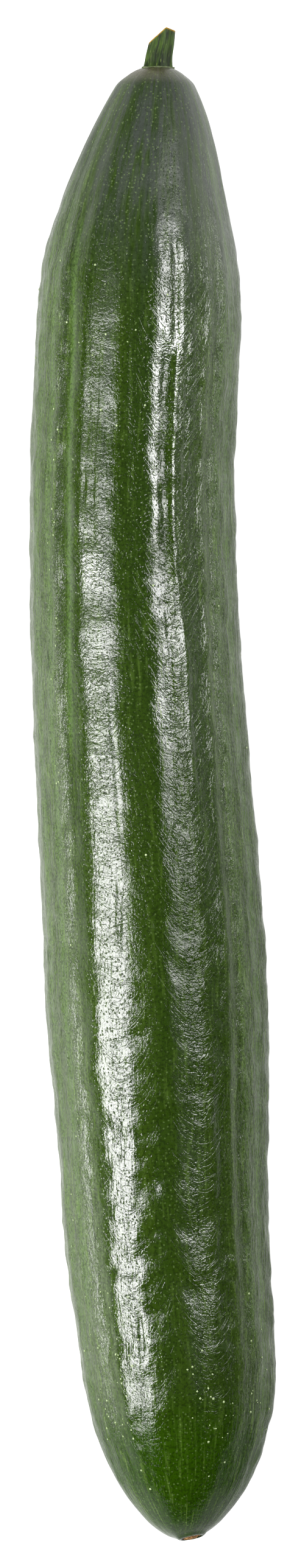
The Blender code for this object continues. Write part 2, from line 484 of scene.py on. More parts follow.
@dataclass(frozen=True)
class CorkFinish:
    """The dry, crumbly, orange-brown cork of the flower scar."""

    light: str = "d9a866"
    dark: str = "6b3a16"
    roughness: float = 0.85
    lump_size: float = 0.5
    lump_depth: float = 0.15

    def make(self) -> Material:
        """Builds the material.

        Returns:
            The scar's material.
        """
        surface = Surface("dry cork")
        lumps = surface.noise(surface.local(), self.lump_size, self.lump_size, 4, 0.65)
        share = surface.rise(lumps, 0.38, 0.62)
        inputs = {
            "Base Color": surface.blend(share, linear(self.dark), linear(self.light)),
            "Roughness": self.roughness,
            "Normal": surface.bump(lumps, self.lump_depth),
        }
        return surface.finish(inputs)


def closed_grid(rows: int, sides: int) -> Faces:
    """The faces of a tube of vertex rows, closed by a single vertex before the first and after the last.

    Args:
        rows: How many rows there are.
        sides: How many vertices each has.

    Returns:
        Faces as vertex numbers: the first pole is 0 and the last is the highest.
    """
    faces: Faces = []
    last = 1 + rows * sides
    for j in range(sides):
        k = (j + 1) % sides
        faces.append((0, 1 + j, 1 + k))
        faces.append((last, last - sides + k, last - sides + j))
    for row in range(rows - 1):
        start = 1 + row * sides
        for j in range(sides):
            k = (j + 1) % sides
            faces.append((start + j, start + sides + j, start + sides + k, start + k))
    return faces


def new_piece(
    name: str,
    points: Array,
    faces: Faces,
    material: Material | None = None,
    attributes: dict[str, Array] | None = None,
) -> Piece:
    """Makes a piece from points and faces, with its normals pointing outward.

    Args:
        name: The piece's name.
        points: One row of three coordinates per vertex, in millimetres.
        faces: Vertex numbers of each face.
        material: What it is made of, unless it is dressed later.
        attributes: A number or a place for every vertex, by name.

    Returns:
        The piece, shaded smooth, at the origin.
    """
    mesh = bpy.data.meshes.new(name)
    mesh.from_pydata((points * MM).tolist(), [], faces)
    for key, values in (attributes or {}).items():
        kind, member = ("FLOAT", "value") if values.ndim == 1 else ("FLOAT_VECTOR", "vector")
        mesh.attributes.new(key, kind, "POINT").data.foreach_set(member, values.ravel())
    work = bmesh.new()
    work.from_mesh(mesh)
    bmesh.ops.recalc_face_normals(work, faces=work.faces)
    work.to_mesh(mesh)
    work.free()
    mesh.shade_smooth()
    if material:
        mesh.materials.append(material)
    made = bpy.data.objects.new(name, mesh)
    bpy.context.scene.collection.objects.link(made)
    return made


class Shaper(Graph):
    """A geometry tree that is being built, with its named inputs and their values."""

    def __init__(self, name: str, values: dict[str, Any]) -> None:
        """Starts the tree.

        Args:
            name: What the tree does.
            values: The value of each named input, one of which is the Material.
        """
        super().__init__(bpy.data.node_groups.new(name, "GeometryNodeTree"))
        self.values = values
        interface = self.tree.interface
        interface.new_socket("Geometry", in_out="INPUT", socket_type="NodeSocketGeometry")
        for key, value in values.items():
            interface.new_socket(key, in_out="INPUT", socket_type=SOCKET_KINDS[type(value)])
        interface.new_socket("Geometry", in_out="OUTPUT", socket_type="NodeSocketGeometry")
        self.inputs = {socket.name: socket for socket in self.add("NodeGroupInput").outputs if socket.name}

    def named(self, name: str, kind: str = "FLOAT") -> Socket:
        """Reads a mesh attribute of the given data type."""
        return self.out("GeometryNodeInputNamedAttribute", {"Name": name}, data_type=kind)

    def run(self, piece: Piece, geometry: Socket) -> Piece:
        """Ends the tree, runs it on a piece and keeps the result as plain mesh.

        Args:
            piece: The piece.
            geometry: What the tree made, which is made real, shaded smooth and dressed here.

        Returns:
            The same piece, with no modifier.
        """
        real = self.out("GeometryNodeRealizeInstances", {"Geometry": geometry})
        even = self.out("GeometryNodeSetShadeSmooth", {"Geometry": real})
        dressed = {"Geometry": even, "Material": self.inputs["Material"]}
        self.add("NodeGroupOutput", {0: self.out("GeometryNodeSetMaterial", dressed)})
        modifier = piece.modifiers.new(self.tree.name, "NODES")
        modifier.node_group = self.tree
        for item in self.tree.interface.items_tree:
            if item.in_out == "INPUT" and item.name in self.values:
                modifier[item.identifier] = self.values[item.name]
        evaluated = piece.evaluated_get(bpy.context.evaluated_depsgraph_get())
        mesh = bpy.data.meshes.new_from_object(evaluated)
        piece.modifiers.clear()
        piece.data = mesh
        return piece


@dataclass(frozen=True)
class Crease:
    """A fine line that runs lengthwise in the skin: sunken, or raised where its depth is negative."""

    path: Stations
    depth: float
    width: float
    tint: float = 0.0
    longest_end: float = 7.0
    sway: float = 0.5
    sway_length: float = 7.3

    def weight(self, angle: Array, y: Array, radius: Array) -> Array:
        """How much of the line there is at each point.

        Args:
            angle: Degrees round from the top.
            y: Place along the fruit in millimetres.
            radius: The fruit's radius there in millimetres.

        Returns:
            A share from 0 to 1 for each point.
        """
        places = [place for place, _ in self.path]
        low, high = min(places), max(places)
        centre = smooth(self.path, y) + self.sway * np.sin(y / self.sway_length + self.path[0][1])
        away = np.radians(turned(angle, centre)) * radius
        reach = min(self.longest_end, (high - low) / 3)
        return bell(away, 0, self.width) * step(low, low + reach, y) * step(high, high - reach, y)


# Lines of the upper side: ((place along Y in millimetres, degrees from the top), ...), depth and width in
# millimetres, and how much of the light stripe's colour the line shows.
CREASES = (
    Crease(((125, -42.5), (107, -41), (80, -39), (60, -38), (40, -39), (5, -41.5)), 0.05, 0.55, 0.42),
    Crease(((98, -22), (85, -22.5), (60, -22), (48, -21)), 0.12, 0.35),
    Crease(((92, -28), (75, -27), (55, -28)), 0.1, 0.4),
    Crease(((150, -60), (118, -58), (80, -56), (30, -56), (-60, -57), (-120, -58)), 0.18, 0.9, 0.3),
    Crease(((130, -7), (105, -6), (80, -4), (55, -2.5)), 0.08, 0.6),
    Crease(((26, -16), (5, -14.5), (-15, -15.5)), 0.13, 0.35),
    Crease(((-18, -16), (-28, -17), (-39, -18)), 0.3, 0.55),
    Crease(((-112, -19), (-120, -20.5), (-127, -21)), 0.28, 0.55),
    Crease(((122, 21), (105, 21.5), (90, 21)), 0.25, 0.7),
    Crease(((98, 17.5), (80, 17), (60, 17.5), (46, 18.5)), 0.3, 1.0),
    Crease(((98, 23), (80, 22.5), (60, 23), (46, 24.5), (30, 27), (-5, 28)), -0.16, 0.45),
    Crease(((100, 29), (80, 29.5), (55, 30)), 0.16, 0.5),
    Crease(((45, 17), (20, 18), (5, 18.5)), 0.1, 0.4),
    Crease(((110, 43.5), (60, 42.5), (38, 43.7), (5, 41), (-40, 40), (-110, 40)), -0.12, 0.7),
    Crease(((120, 52), (60, 48.5), (5, 46), (-50, 46), (-130, 47)), 0.2, 0.8),
    Crease(((115, 57), (60, 55), (5, 52.5), (-50, 52.5), (-125, 54)), -0.18, 0.9, 0.15),
    Crease(((70, -50), (35, -51.5), (0, -49), (-60, -48), (-120, -47)), -0.03, 0.8),
    Crease(((-60, 31), (-85, 32), (-110, 31)), 0.1, 0.6),
    Crease(((140, 66), (60, 67), (-60, 66), (-140, 64)), 0.12, 1.0, 0.25),
    Crease(((140, -72), (60, -70), (-60, -72), (-140, -70)), 0.12, 1.0, 0.25),
    Crease(((140, 98), (0, 102), (-140, 100)), 0.14, 0.8, 0.4),
    Crease(((140, -98), (0, -101), (-140, -99)), 0.14, 0.8, 0.4),
    Crease(((140, 132), (0, 130), (-140, 133)), 0.14, 0.8, 0.4),
    Crease(((140, -134), (0, -131), (-140, -133)), 0.14, 0.8, 0.4),
    Crease(((140, 165), (0, 166), (-140, 163)), 0.1, 0.8, 0.4),
    Crease(((140, -166), (0, -163), (-140, -166)), 0.1, 0.8, 0.4),
)

# Groups of warts: (place along Y in millimetres, degrees from the top, spread along, spread round, how many
# to a square centimetre at its middle).
WART_GROUPS = (
    (-131.0, 17.0, 7.0, 7.0, 17.0),
    (-140.0, 33.0, 5.0, 6.0, 16.0),
    (-128.0, -36.0, 12.0, 6.0, 16.0),
    (-138.0, -48.0, 14.0, 8.0, 8.0),
    (40.0, -51.0, 26.0, 2.5, 9.0),
    (-40.0, -55.0, 60.0, 4.0, 1.5),
    (-115.0, -58.0, 14.0, 8.0, 4.0),
    (95.0, -15.0, 12.0, 20.0, 3.0),
    (-128.0, 60.0, 10.0, 8.0, 7.0),
    (-20.0, 150.0, 90.0, 25.0, 1.2),
    (10.0, -140.0, 90.0, 25.0, 1.2),
)


@dataclass(frozen=True)
class Dent:
    """A shallow soft dip, bent like a smile: place, depth and size in millimetres, and angle in degrees."""

    y: float
    angle: float
    depth: float
    along: float
    across: float
    sag: float = 0.14

    def weight(self, angle: Array, y: Array, radius: Array) -> Array:
        """How deep the dip is at each point.

        Args:
            angle: Degrees round from the top.
            y: Place along the fruit in millimetres.
            radius: The fruit's radius there in millimetres.

        Returns:
            A depth in millimetres for each point.
        """
        away = np.radians(turned(angle, self.angle)) * radius
        return self.depth * bell(away, 0, self.across) * bell(y - self.sag * away**2, self.y, self.along)


DENTS = (
    Dent(-32, 18, 0.22, 2.8, 4),
    Dent(-41, 17, 0.36, 2.8, 4),
    Dent(-52, 19, 0.3, 3.2, 4),
    Dent(-66, 21, 0.16, 3, 4),
    Dent(-97, 15, 0.55, 2.6, 3.6),
    Dent(-110, 13, 0.62, 2.5, 3.4),
    Dent(38, -25, 0.16, 2.6, 4),
    Dent(27, -19, 0.14, 2.4, 4),
    Dent(16, -25, 0.12, 2.6, 4),
    Dent(-105, -26, 0.26, 2.0, 4),
    Dent(99, -18, 0.1, 1.0, 1.2),
    Dent(76, -15.5, 0.1, 1.0, 1.0),
    Dent(60, -23, 0.12, 1.0, 1.3),
    Dent(57, -16, 0.12, 1.1, 1.3),
    Dent(54, -26, 0.1, 1.0, 1.2),
)

# The outline from the stem seat to just past the flower end: (place along Y, radius) in millimetres.
GIRTH = (
    *((156.45, 0.0), (156.4, 2.6), (156.05, 4.0), (154.9, 6.0), (152.4, 8.7), (141.0, 13.8), (125.0, 18.8)),
    *((112.0, 21.7), (98.0, 22.5), (73.0, 22.45), (45.0, 22.9), (5.0, 23.6), (-48.0, 24.35), (-80.0, 23.1)),
    *((-122.0, 21.65), (-139.0, 19.6), (-152.0, 14.8), (-160.5, 8.6), (-164.2, 3.8), (-165.1, 0.0)),
    (-164.2, -3.8),
)

# The middle line's bow to the side and its height over the ground: (place along Y, measure) in millimetres.
BOW = (
    *((156.2, 1.0), (146.0, 0.2), (125.0, -2.0), (100.0, -2.9), (62.0, -4.3), (21.0, -3.0)),
    *((-26.0, 0.0), (-66.0, 1.9), (-98.0, 3.2), (-130.0, 5.9), (-150.0, 6.8), (-165.1, 7.0)),
)
HEIGHT = (
    *((156.2, 24.6), (110.0, 22.7), (53.0, 22.3), (5.0, 22.7)),
    *((-50.0, 23.6), (-80.0, 22.8), (-122.0, 22.4), (-165.1, 24.4)),
)

# The grooves between the ribs: (degrees from the top at the stem end and at the flower end, depth in
# millimetres).
GROOVES = (
    *((-154, -154, 0.35), (-130, -130, 0.3), (-107, -107, 0.3), (-84, -86, 0.3), (-62, -66, 0.3)),
    *((-41, -46, 0.36), (-21, -24.5, 0.28), (-3, -6, 0.14), (18, 17, 0.26), (36, 34, 0.3)),
    *((52, 48, 0.34), (71, 69, 0.28), (96, 96, 0.32), (121, 121, 0.32), (147, 147, 0.35)),
)


@dataclass(frozen=True)
class FruitShape:
    """The fruit's smooth shape, the same as the solid's: outline, bow, height and ribs."""

    stem_seat: float = 156.2
    flower_end: float = -165.1
    groove_spread: float = 5.0
    groove_turn: tuple[float, float] = (60.0, -70.0)
    lobe_share: float = 0.015
    rib_fade: float = 24.0
    fine_samples: int = 4000
    # How many more rows there are at an end of the fruit, and over how many millimetres that fades.
    stem_crowding: tuple[float, float] = (1.5, 6.0)
    flower_crowding: tuple[float, float] = (2.4, 7.0)

    def outline(self, rows: int) -> tuple[Array, Array]:
        """Samples the outline from the stem seat to the flower end, closer near the ends.

        Args:
            rows: How many samples to take, both ends included.

        Returns:
            Place along Y and radius of each, in millimetres.
        """
        points = np.array(GIRTH)
        along = np.concatenate([[0.0], np.cumsum(np.hypot(*np.diff(points, axis=0).T))])
        total = along[-2]
        fine = np.linspace(0.0, total, self.fine_samples)
        density = np.ones_like(fine)
        for (more, length), away in ((self.flower_crowding, total - fine), (self.stem_crowding, fine)):
            density += more * np.exp(-away / length)
        share = np.concatenate([[0.0], np.cumsum((density[1:] + density[:-1]) / 2)])
        places = np.interp(np.linspace(0.0, share[-1], rows), share, fine)
        y, radius = (smooth(tuple(zip(along, points[:, axis])), places) for axis in (0, 1))
        return y, np.maximum(radius, 0.0)

    def middle(self, y: Array) -> Array:
        """The middle line's point at each place along Y, in millimetres."""
        return np.stack([smooth(BOW, y), y, smooth(HEIGHT, y)], axis=-1)

    def ribbed(self, angle: Array, y: Array, radius: Array) -> Array:
        """The radius with lobes and ribs.

        Args:
            angle: Degrees round from the top.
            y: Places along Y in millimetres.
            radius: The outline's radius in millimetres.

        Returns:
            The shaped radius in millimetres.
        """
        share = step(*self.groove_turn, y)
        depth = np.zeros_like(angle)
        for stem_end, flower_end, deepest in GROOVES:
            away = turned(angle, stem_end + (flower_end - stem_end) * share)
            depth += deepest * bell(away, 0, self.groove_spread)
        ends = np.minimum(self.stem_seat - y, y - self.flower_end)
        lobes = 1 + self.lobe_share * np.cos(np.radians(3 * angle))
        return radius * lobes - depth * np.clip(ends / self.rib_fade, 0.0, 1.0)


@dataclass
class Skin:
    """The fruit's skin."""

    shape: FruitShape
    sides: int = 248
    rows: int = 400
    crowding: float = 0.45
    unrolled_radius: float = 22.0
    socket_radius: float = 2.05
    socket_depth: float = 0.9
    socket_reach: float = 4.0
    lip_radius: float = 2.75
    lip_height: float = 0.3
    lip_width: float = 0.4
    belly_softness: float = 0.25
    crease_fade: float = 8.0
    dent_depth: float = 0.75
    dent_size: tuple[float, float] = (9.0, 7.5)
    fold_depth: float = 0.24
    fold_size: tuple[float, float] = (6.0, 2.8)
    relief_seed: float = 4.0
    stray_warts: float = 0.12

    def masks(self, angle: Array, y: Array) -> dict[str, Array]:
        """Where the skin is streaky, bloomy, rough and so on.

        Args:
            angle: Degrees round from the top of each point.
            y: Place along the fruit of each point in millimetres.

        Returns:
            A share for each point, by the name of the attribute.
        """
        flank = step(30, 60, np.abs(angle))
        flower_end = step(-135, -158, y)
        # The neck's wax reaches further down on the right.
        bloom = step(98, 146, y + 8 * np.cos(np.radians(angle - 50)))
        matt = step(112, 146, y + 6 * np.cos(np.radians(angle - 50)))
        tips = step(-165, -140, y) * step(156, 120, y)
        thin_wax_and_shade = self.thin_wax_and_shade(angle, y)
        left_lobe, right_lobe = bell(angle, LEFT_LOBE, 11), bell(angle, RIGHT_LOBE, 12)
        # Some places are calmer than the rest: under the crisp strips of light, between them and beside the
        # left one.
        calm = 1 - 0.55 * bell(angle, LEFT_LOBE, 12) * step(-60, -20, y)
        calm -= 0.5 * right_lobe * (step(30, 14, y) + 0.8 * step(75, 85, y) * step(115, 105, y))
        calm -= 0.6 * bell(angle, -1, 7) * step(-70, -40, y)
        calm -= 0.6 * bell(angle, -44, 6) * bell(y, 13, 13)
        # The right flank turns paler past about 40 degrees, a painted reflection of the pale floor, and is
        # less pale low towards the flower end, as painted shade.
        foot = angle - 40.5 + 3 * step(0, -80, y)
        right_flank = (0.2 * step(18, 36, angle) + 0.35 * step(-3.5, 3.5, foot)) * (1 - 0.45 * thin_wax_and_shade)
        # Painted light: a pale colour on the left flank past the edge of the upper side, standing in for the
        # lamp's light and the floor's reflection.
        left_painted_light = step(-3, 1.5, -angle - smooth(LEFT_EDGE, y)) * step(60, 30, y)
        return {
            "streaky": 0.3 + 0.65 * flank + 0.3 * flower_end + bloom * (0.3 * step(-30, 10, angle) - 0.15),
            # Pale flanks, partly their own colour and partly painted light on the lamp side; the dark band in
            # them is painted shade.
            "flank": step(18, 56, -angle) * (1 - 0.75 * self.dark_band(angle, y)) + right_flank,
            "painted_lamp_light": (left_painted_light + 0.3 * step(37, 43, angle)) * step(-160, -120, y),
            "pitted": 0.03 + 0.97 * np.maximum(left_lobe**1.7, right_lobe**2 * (0.3 + 0.7 * step(20, 45, y))),
            "tip": 0.75 * step(-128, -148, y),
            "sheen": self.sheen(angle, y, bloom),
            "collar": 0.55 * step(152, 156, y) * (0.4 + 0.6 * step(60, -60, angle)),
            "slivery": bell(angle, LEFT_LOBE, 9) * (step(25, -20, y) + step(45, 62, y)) * tips,
            "dullness": np.maximum(1.2 * matt, 0.35 * step(58, 84, np.abs(angle))).clip(0, 1),
            "ribby": (0.12 + 0.88 * step(38, 52, np.abs(angle)) + 0.18 * step(26, 36, angle)) * tips,
            "bloom": 0.92 * bloom,
            "relief": np.clip(tips, 0.12, 1.0) * (1 - 0.5 * bloom) * step(170, 145, np.abs(angle)) * calm,
            "wrinkle": self.wrinkles(angle, y) * np.clip(tips, 0.12, 1.0) * (1 - 0.7 * matt),
        }

    @staticmethod
    def thin_wax_and_shade(angle: Array, y: Array) -> Array:
        """Low on the right, towards the flower end: the wax is thinner there, and the right flank's pale
        colour is weaker there as painted shade.
        """
        return step(20, 50, angle) * step(30, -30, y)

    @staticmethod
    def dark_band(angle: Array, y: Array) -> Array:
        """The band just inside the left edge of the upper side, which is painted darker as painted shade and
        given less sheen.
        """
        ends = (0.6 * step(-50, -10, y) + 0.4 * step(15, 45, y)) * step(135, 110, y)
        return bell(angle + smooth(LEFT_EDGE, y), 3.7, 3) * ends

    def sheen(self, angle: Array, y: Array, bloom: Array) -> Array:
        """How strongly the skin mirrors the room.

        Args:
            angle: Degrees round from the top of each point.
            y: Place along the fruit of each point in millimetres.
            bloom: How much of the neck's wax is on each point.

        Returns:
            The shader's specular level for each point.
        """
        left_lobe, right_lobe = bell(angle, LEFT_LOBE, 11), bell(angle, RIGHT_LOBE, 12)
        left_glints = sum(share * bell(y, place, 2.6) for place, share in LEFT_GLINTS)
        right_glints = step(107, 97, y) * (0.45 * step(50, 60, y) + 0.45 * step(76, 86, y))
        dull_stretch = 0.42 * step(34, 6, y) * step(-60, -44, y) + 0.16 * step(-12, -26, y)
        changes = (
            -0.4 * self.thin_wax_and_shade(angle, y),
            -0.6 * step(-125, -150, y),
            -0.45 * step(46, 58, -angle),
            0.9 * bloom * step(40, 75, angle) - 0.45 * step(40, 58, angle) * (1 - bloom),
            -0.4 * right_lobe * step(116, 126, y),
            -0.4 * self.dark_band(angle, y),
            right_lobe * (right_glints + 0.7 * bell(y, 15, 6)),
            -0.25 * bloom * step(10, -30, angle),
            -0.3 * step(56, 72, angle) * step(112, 98, y),
            left_lobe * left_glints,
            -right_lobe * dull_stretch,
            # The left strip fades out towards the neck, and a gap runs along the right one.
            -0.38 * left_lobe * step(48, 56, y + 0.6 * (angle - LEFT_LOBE)),
            -0.6 * bell(angle, 17, 2.2) * step(45, 52, y) * step(98, 86, y),
        )
        sheen = np.full_like(y, 0.5)
        for change in changes:
            sheen *= 1 + change
        return sheen

    def wrinkles(self, angle: Array, y: Array) -> Array:
        """Where the skin is crumpled: on the two lobes of the upper side, most in their middle.

        Args:
            angle: Degrees round from the top of each point.
            y: Place along the fruit of each point in millimetres.

        Returns:
            A share for each point.
        """
        left = bell(angle, LEFT_LOBE, 8) * (0.35 + 0.35 * step(-30, 20, y) - 0.4 * step(48, 60, y))
        low_patches = bell(y, -50, 9) + bell(y, -106, 14)
        middle = step(-45, -15, y) - 0.9 * step(46, 60, y)
        spread = np.where(angle < RIGHT_LOBE, 4.5, 8.0)
        right = bell(angle, RIGHT_LOBE, spread) * (0.55 + 0.45 * middle + 0.35 * low_patches)
        neck = 0.7 * bell(angle, 32, 12) * bell(y, 126, 10)
        return 0.08 + 0.92 * np.maximum(np.maximum(left, right), neck)

    def scar_relief(self, points: Array) -> Array:
        """The socket of the flower scar and the lip round it.

        Args:
            points: The skin's points in millimetres.

        Returns:
            How each point moves, in millimetres.
        """
        facing = unit(SCAR_FACING)
        away = points - np.array(SCAR_CENTRE)
        ahead = away @ facing
        across = np.linalg.norm(away - ahead[:, None] * facing, axis=1)
        socket = -self.socket_depth * step(self.socket_radius + 0.35, self.socket_radius - 0.15, across)
        lip = self.lip_height * bell(across, self.lip_radius, self.lip_width)
        moved = np.where(np.abs(ahead) < self.socket_reach, socket + lip, 0.0)
        return moved[:, None] * facing

    def grid(self) -> Piece:
        """Lays the skin's points on the shape, with its creases, socket and flat belly.

        Returns:
            The piece before its random relief.
        """
        y_rows, radii = self.shape.outline(self.rows + 2)
        even = np.linspace(0.0, 2 * math.pi, self.sides, endpoint=False)
        degrees = turned(np.degrees(even - self.crowding * np.sin(even)), 0)
        inner = slice(1, -1)
        angle = np.concatenate([[0.0], np.tile(degrees, self.rows), [0.0]])
        y = np.concatenate([y_rows[:1], np.repeat(y_rows[inner], self.sides), y_rows[-1:]])
        plain = np.concatenate([[0.0], np.repeat(radii[inner], self.sides), [0.0]])
        radius = self.shape.ribbed(angle, y, plain)
        stripe = np.zeros_like(radius)
        fade = np.clip(plain / self.crease_fade, 0.0, 1.0)
        for crease in CREASES:
            weight = crease.weight(angle, y, plain) * fade
            radius -= crease.depth * weight
            stripe = np.maximum(stripe, crease.tint * weight)
        for dent in DENTS:
            radius -= dent.weight(angle, y, plain)
        radius[[0, -1]] = 0.0
        out = np.stack([np.sin(np.radians(angle)), np.zeros_like(angle), np.cos(np.radians(angle))], axis=-1)
        points = self.shape.middle(y) + out * np.maximum(radius, 0.0)[:, None]
        points += self.scar_relief(points)
        z = points[:, 2]
        points[:, 2] = (z + np.sqrt(z * z + self.belly_softness**2)) / 2
        place = out * self.unrolled_radius
        attributes = self.masks(angle, y)
        attributes["stripe"] = stripe * step(-165, -130, y)
        attributes["skin_place"] = np.stack([place[:, 0], place[:, 2], y], axis=-1) * MM
        attributes["wartiness"] = self.wart_density(angle, y)
        faces = closed_grid(self.rows, self.sides)
        return new_piece("cucumber_skin", points, faces, attributes=attributes)

    def wart_density(self, angle: Array, y: Array) -> Array:
        """How many warts to expect.

        Args:
            angle: Degrees round from the top of each point.
            y: Place along the fruit of each point in millimetres.

        Returns:
            Warts to a square metre.
        """
        count = np.full_like(y, self.stray_warts)
        for centre, turn, spread, spread_round, most in WART_GROUPS:
            count += most * bell(y, centre, spread) * bell(turned(angle, turn), 0, spread_round)
        return count * step(-160, -148, y) * 1e4

    def build(self, material: Material) -> Piece:
        """Builds the skin, with two random patterns along its normals: soft dents and cross folds.

        Args:
            material: The skin's material.

        Returns:
            The finished piece.
        """
        values = {"Seed": self.relief_seed, "Material": material}
        measures = {"Dent": (self.dent_depth, *self.dent_size), "Fold": (self.fold_depth, *self.fold_size)}
        for name, lengths in measures.items():
            for what, length in zip(("Depth", "Around", "Along"), lengths):
                values[f"{name} {what}"] = length * MM
        tree = Shaper("skin relief", values)
        place = tree.named("skin_place", "FLOAT_VECTOR")
        patterns = []
        for name in measures:
            around, along = tree.inputs[f"{name} Around"], tree.inputs[f"{name} Along"]
            sizes = tree.out("ShaderNodeCombineXYZ", {0: around, 1: around, 2: along})
            patterns.append(self.layer(tree, tree.vector("DIVIDE", place, sizes), 2.0))
        dents, folds = patterns
        # The folds come and go in long patches.
        patch = tree.rise(self.layer(tree, tree.stretch(place, 9, 26), 1.0), -0.15, 0.15, 0.3, 1.0)
        deep = tree.times(dents, tree.inputs["Dent Depth"])
        fine = tree.times(tree.times(folds, patch), tree.inputs["Fold Depth"])
        height = tree.times(tree.math("ADD", deep, fine), tree.named("relief"))
        normal = tree.out("GeometryNodeInputNormal", {})
        offset = tree.out("ShaderNodeVectorMath", {0: normal, "Scale": height}, operation="SCALE")
        moved = {"Geometry": tree.inputs["Geometry"], "Offset": offset}
        return tree.run(self.grid(), tree.out("GeometryNodeSetPosition", moved))

    @staticmethod
    def layer(tree: Shaper, place: Socket, detail: float) -> Socket:
        """A random pattern of about -1 to 1.

        Args:
            tree: The relief's tree.
            place: The scaled place.
            detail: How many finer layers it has.

        Returns:
            The pattern.
        """
        seed = tree.inputs["Seed"]
        values = {"Vector": place, "W": seed, "Scale": 1.0, "Detail": detail, "Roughness": 0.5}
        made = tree.out("ShaderNodeTexNoise", values, noise_dimensions="4D")
        return tree.times(tree.math("SUBTRACT", made, 0.5), 2.0)


@dataclass
class Warts:
    """Small warts that stand in groups on the skin."""

    smallest: float = 0.1
    largest: float = 0.28
    flatness: float = 0.5
    sides: int = 8
    rings: int = 5
    seed: int = 11

    def build(self, skin: Piece, material: Material) -> Piece:
        """Scatters low domes over the finished skin where its wartiness says.

        Args:
            skin: The skin.
            material: The warts' material.

        Returns:
            The warts as one piece.
        """
        piece = bpy.data.objects.new("skin_warts", skin.data.copy())
        bpy.context.scene.collection.objects.link(piece)
        values = {
            "Smallest": self.smallest * MM,
            "Largest": self.largest * MM,
            "Flatness": self.flatness,
            "Seed": self.seed,
            "Material": material,
        }
        tree = Shaper("skin warts", values)
        inputs = tree.inputs
        spread = {"Mesh": inputs["Geometry"], "Density": tree.named("wartiness"), "Seed": inputs["Seed"]}
        spots = tree.add("GeometryNodeDistributePointsOnFaces", spread).outputs
        counts = {"Segments": self.sides, "Rings": self.rings, "Radius": 1.0}
        ball = tree.out("GeometryNodeMeshUVSphere", counts)
        limits = {2: inputs["Smallest"], 3: inputs["Largest"], "Seed": inputs["Seed"]}
        size = tree.add("FunctionNodeRandomValue", limits, data_type="FLOAT").outputs[1]
        low = tree.times(size, inputs["Flatness"])
        placed = {
            "Points": spots["Points"],
            "Instance": ball,
            "Rotation": spots["Rotation"],
            "Scale": tree.out("ShaderNodeCombineXYZ", {0: size, 1: size, 2: low}),
        }
        return tree.run(piece, tree.out("GeometryNodeInstanceOnPoints", placed))


